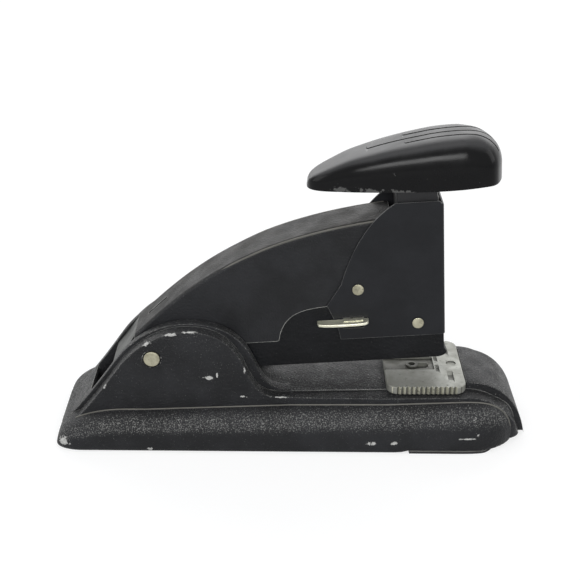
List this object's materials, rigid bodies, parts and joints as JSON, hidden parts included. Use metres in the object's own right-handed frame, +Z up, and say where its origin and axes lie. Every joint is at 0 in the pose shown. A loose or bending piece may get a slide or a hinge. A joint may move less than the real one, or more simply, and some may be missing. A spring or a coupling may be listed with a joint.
{
  "type": "desk stapler",
  "caption": "Vintage black desk stapler with a stepped cast base, hinge ears, arched cover, tall head, teardrop knob, thumb latch and a sliding clinch anvil.",
  "frame": {"origin": "desk plane under the middle of the base", "axes": "+X towards the nose where staples come out, +Y to the far side, +Z up; the latch tab is on the -Y side"},
  "size_m": [0.194, 0.0612, 0.1289],
  "materials": {
    "crinkle_paint": "crinkled satin black",
    "smooth_paint": "smooth satin black",
    "knob_black": "gloss black",
    "nickel": "satin nickel, aged",
    "brass": "aged, dull",
    "steel": "satin",
    "spring_steel": "satin",
    "underlay": "matt"
  },
  "bodies": {
    "base": {"base_casting": "crinkle_paint", "base_pad": "underlay", "hinge_pin": "brass", "lift_spring": "spring_steel", "lift_spring_rivet": "steel", "anvil_rivet": "nickel"},
    "anvil": {"anvil_plate": "nickel"},
    "magazine": {"magazine_frame": "crinkle_paint", "staple_channel": "steel", "staple_core": "steel", "rod_bracket": "steel", "guide_rod": "steel", "catch_stud": "steel", "follower_spring": "spring_steel"},
    "pusher": {"follower": "steel"},
    "hood": {"cover": "crinkle_paint", "tail_plate": "smooth_paint", "head_housing": "smooth_paint", "rear_cross_pin": "brass", "front_cross_pin": "brass", "driver_guide": "steel", "latch_spring": "spring_steel"},
    "latch_lever": {"latch": "nickel"},
    "driver": {"plunger": "smooth_paint", "driver_blade": "steel", "blade_rivet_lower": "steel", "blade_rivet_upper": "steel", "plunger_spring": "spring_steel", "knob": "knob_black", "knob_screw": "steel"}
  },
  "joints": [
    {"name": "arm_hinge", "type": "hinge", "parent": "base", "child": "magazine", "pos_m": [-0.0564, 0, 0.0384], "axis": [0, -1, 0], "range_deg": [-3.5, 50], "stiffness_Nm_per_rad": 2, "deforming": ["lift_spring"]},
    {"name": "cover_hinge", "type": "hinge", "parent": "magazine", "child": "hood", "pos_m": [-0.0564, 0, 0.0384], "axis": [0, -1, 0], "range_deg": [0, 60]},
    {"name": "plunger_slide", "type": "slide", "parent": "hood", "child": "driver", "axis": [0.061, 0, -0.9981], "range_m": [0, 0.0094], "stiffness_N_per_m": 900, "springref_m": -0.004, "deforming": ["plunger_spring"]},
    {"name": "follower_slide", "type": "slide", "parent": "magazine", "child": "pusher", "axis": [-0.9981, 0, -0.061], "range_m": [0, 0.072], "stiffness_N_per_m": 20, "springref_m": -0.05, "deforming": ["follower_spring"]},
    {"name": "latch_pivot", "type": "hinge", "parent": "hood", "child": "latch_lever", "pos_m": [0.05058, 0, 0.05015], "axis": [0, -1, 0], "range_deg": [0, 5.5], "stiffness_Nm_per_rad": 0.05, "springref_deg": -5.73},
    {"name": "anvil_slide", "type": "slide", "parent": "base", "child": "anvil", "axis": [-1, 0, 0], "range_m": [0, 0.0048]}
  ]
}
